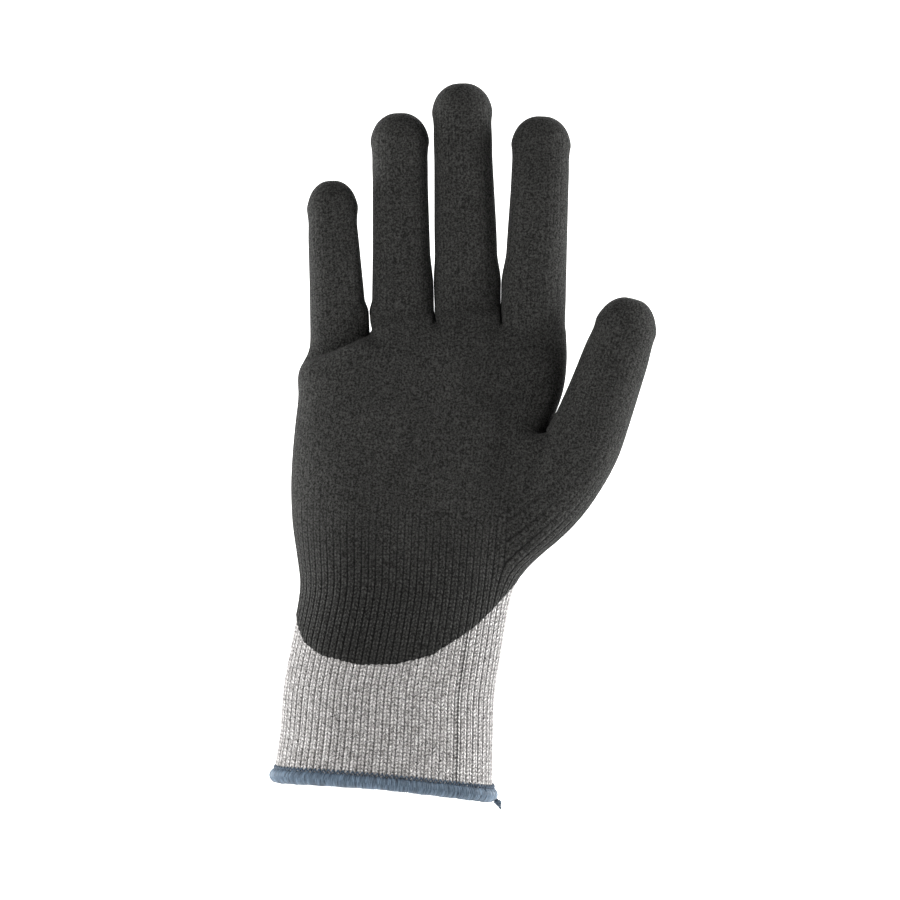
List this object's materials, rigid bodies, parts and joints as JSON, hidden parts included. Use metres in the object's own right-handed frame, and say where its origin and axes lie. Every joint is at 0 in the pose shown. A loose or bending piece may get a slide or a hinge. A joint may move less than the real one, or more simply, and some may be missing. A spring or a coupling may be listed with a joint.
{
  "type": "cut resistant glove",
  "caption": "Right-hand knitted work glove with a dark dipped palm and fingers, pale rib cuff and overlocked hem, open and hollow.",
  "frame": {"origin": "middle of the wrist opening, in the plane of the hem's lower edge", "axes": "+Z from the wrist to the fingertips, +X to the thumb side, -Y out of the palm side, +Y out of the back of the hand"},
  "size_m": [0.131, 0.0506, 0.2471],
  "materials": {
    "knit_liner": "pale grey melange yarn in a fine seamless rib knit",
    "nitrile_coating": "matt dark charcoal foam with a fine grain",
    "flex_fabric": "knit, coated on the palm side, soft where it bends",
    "hem_thread": "slate blue overlock thread",
    "elastic_thread": "covered rubber thread"
  },
  "bodies": {
    "cuff": {"cuff_liner": "knit_liner", "cuff_elastic": "elastic_thread", "cuff_hem": "hem_thread", "hem_tail": "hem_thread", "wrist_flex": "flex_fabric"},
    "palm": {"palm_liner": "knit_liner", "palm_coating": "nitrile_coating", "little_knuckle_flex": "flex_fabric", "ring_knuckle_flex": "flex_fabric", "middle_knuckle_flex": "flex_fabric", "index_knuckle_flex": "flex_fabric", "thumb_knuckle_flex": "flex_fabric"},
    "little_proximal": {"little_proximal_liner": "knit_liner", "little_proximal_coating": "nitrile_coating", "little_midjoint_flex": "flex_fabric"},
    "little_medial": {"little_medial_liner": "knit_liner", "little_medial_coating": "nitrile_coating", "little_tipjoint_flex": "flex_fabric"},
    "little_distal": {"little_distal_liner": "knit_liner", "little_distal_coating": "nitrile_coating"},
    "ring_proximal": {"ring_proximal_liner": "knit_liner", "ring_proximal_coating": "nitrile_coating", "ring_midjoint_flex": "flex_fabric"},
    "ring_medial": {"ring_medial_liner": "knit_liner", "ring_medial_coating": "nitrile_coating", "ring_tipjoint_flex": "flex_fabric"},
    "ring_distal": {"ring_distal_liner": "knit_liner", "ring_distal_coating": "nitrile_coating"},
    "middle_proximal": {"middle_proximal_liner": "knit_liner", "middle_proximal_coating": "nitrile_coating", "middle_midjoint_flex": "flex_fabric"},
    "middle_medial": {"middle_medial_liner": "knit_liner", "middle_medial_coating": "nitrile_coating", "middle_tipjoint_flex": "flex_fabric"},
    "middle_distal": {"middle_distal_liner": "knit_liner", "middle_distal_coating": "nitrile_coating"},
    "index_proximal": {"index_proximal_liner": "knit_liner", "index_proximal_coating": "nitrile_coating", "index_midjoint_flex": "flex_fabric"},
    "index_medial": {"index_medial_liner": "knit_liner", "index_medial_coating": "nitrile_coating", "index_tipjoint_flex": "flex_fabric"},
    "index_distal": {"index_distal_liner": "knit_liner", "index_distal_coating": "nitrile_coating"},
    "thumb_proximal": {"thumb_proximal_liner": "knit_liner", "thumb_proximal_coating": "nitrile_coating", "thumb_tipjoint_flex": "flex_fabric"},
    "thumb_distal": {"thumb_distal_liner": "knit_liner", "thumb_distal_coating": "nitrile_coating"}
  },
  "joints": [
    {"name": "wrist_bend", "type": "hinge", "parent": "cuff", "child": "palm", "pos_m": [0.0048, 0, 0.0527], "axis": [1, 0, 0], "range_deg": [-45, 60], "stiffness_Nm_per_rad": 0.5, "deforming": ["wrist_flex"]},
    {"name": "little_knuckle_bend", "type": "hinge", "parent": "palm", "child": "little_proximal", "pos_m": [-0.01549, -0.00536, 0.15858], "axis": [0.9987, 0, 0.0519], "range_deg": [-10, 70], "stiffness_Nm_per_rad": 0.02, "deforming": ["little_knuckle_flex"]},
    {"name": "little_midjoint_bend", "type": "hinge", "parent": "little_proximal", "child": "little_medial", "pos_m": [-0.0163, -0.00588, 0.1742], "axis": [0.9987, 0, 0.0519], "range_deg": [0, 85], "stiffness_Nm_per_rad": 0.02, "deforming": ["little_midjoint_flex"]},
    {"name": "little_tipjoint_bend", "type": "hinge", "parent": "little_medial", "child": "little_distal", "pos_m": [-0.01723, -0.00745, 0.19206], "axis": [0.9987, 0, 0.0519], "range_deg": [0, 40], "stiffness_Nm_per_rad": 0.02, "deforming": ["little_tipjoint_flex"]},
    {"name": "ring_knuckle_bend", "type": "hinge", "parent": "palm", "child": "ring_proximal", "pos_m": [0.0061, -0.00422, 0.16719], "axis": [0.9999, 0, 0.0139], "range_deg": [-10, 70], "stiffness_Nm_per_rad": 0.02, "deforming": ["ring_knuckle_flex"]},
    {"name": "ring_midjoint_bend", "type": "hinge", "parent": "ring_proximal", "child": "ring_medial", "pos_m": [0.00582, -0.00474, 0.18732], "axis": [0.9999, 0, 0.0139], "range_deg": [0, 85], "stiffness_Nm_per_rad": 0.02, "deforming": ["ring_midjoint_flex"]},
    {"name": "ring_tipjoint_bend", "type": "hinge", "parent": "ring_medial", "child": "ring_distal", "pos_m": [0.0055, -0.00627, 0.21033], "axis": [0.9999, 0, 0.0139], "range_deg": [0, 40], "stiffness_Nm_per_rad": 0.02, "deforming": ["ring_tipjoint_flex"]},
    {"name": "middle_knuckle_bend", "type": "hinge", "parent": "palm", "child": "middle_proximal", "pos_m": [0.02818, -0.00384, 0.1691], "axis": [0.9996, 0, 0.0272], "range_deg": [-10, 70], "stiffness_Nm_per_rad": 0.02, "deforming": ["middle_knuckle_flex"]},
    {"name": "middle_midjoint_bend", "type": "hinge", "parent": "middle_proximal", "child": "middle_medial", "pos_m": [0.02756, -0.00436, 0.19178], "axis": [0.9996, 0, 0.0272], "range_deg": [0, 85], "stiffness_Nm_per_rad": 0.02, "deforming": ["middle_midjoint_flex"]},
    {"name": "middle_tipjoint_bend", "type": "hinge", "parent": "middle_medial", "child": "middle_distal", "pos_m": [0.02686, -0.00589, 0.2177], "axis": [0.9996, 0, 0.0272], "range_deg": [0, 40], "stiffness_Nm_per_rad": 0.02, "deforming": ["middle_tipjoint_flex"]},
    {"name": "index_knuckle_bend", "type": "hinge", "parent": "palm", "child": "index_proximal", "pos_m": [0.0511, -0.0048, 0.16707], "axis": [0.9991, 0, -0.0424], "range_deg": [-10, 70], "stiffness_Nm_per_rad": 0.02, "deforming": ["index_knuckle_flex"]},
    {"name": "index_midjoint_bend", "type": "hinge", "parent": "index_proximal", "child": "index_medial", "pos_m": [0.05194, -0.00532, 0.18687], "axis": [0.9991, 0, -0.0424], "range_deg": [0, 85], "stiffness_Nm_per_rad": 0.02, "deforming": ["index_midjoint_flex"]},
    {"name": "index_tipjoint_bend", "type": "hinge", "parent": "index_medial", "child": "index_distal", "pos_m": [0.0529, -0.00681, 0.20949], "axis": [0.9991, 0, -0.0424], "range_deg": [0, 40], "stiffness_Nm_per_rad": 0.02, "deforming": ["index_tipjoint_flex"]},
    {"name": "thumb_knuckle_bend", "type": "hinge", "parent": "palm", "child": "thumb_proximal", "pos_m": [0.06987, -0.01329, 0.12818], "axis": [0.9107, -0.2419, -0.3349], "range_deg": [-5, 25], "stiffness_Nm_per_rad": 0.03, "deforming": ["thumb_knuckle_flex"]},
    {"name": "thumb_tipjoint_bend", "type": "hinge", "parent": "thumb_proximal", "child": "thumb_distal", "pos_m": [0.0749, -0.01343, 0.14612], "axis": [0.7577, -0.5717, -0.3147], "range_deg": [0, 40], "stiffness_Nm_per_rad": 0.03, "deforming": ["thumb_tipjoint_flex"]}
  ]
}
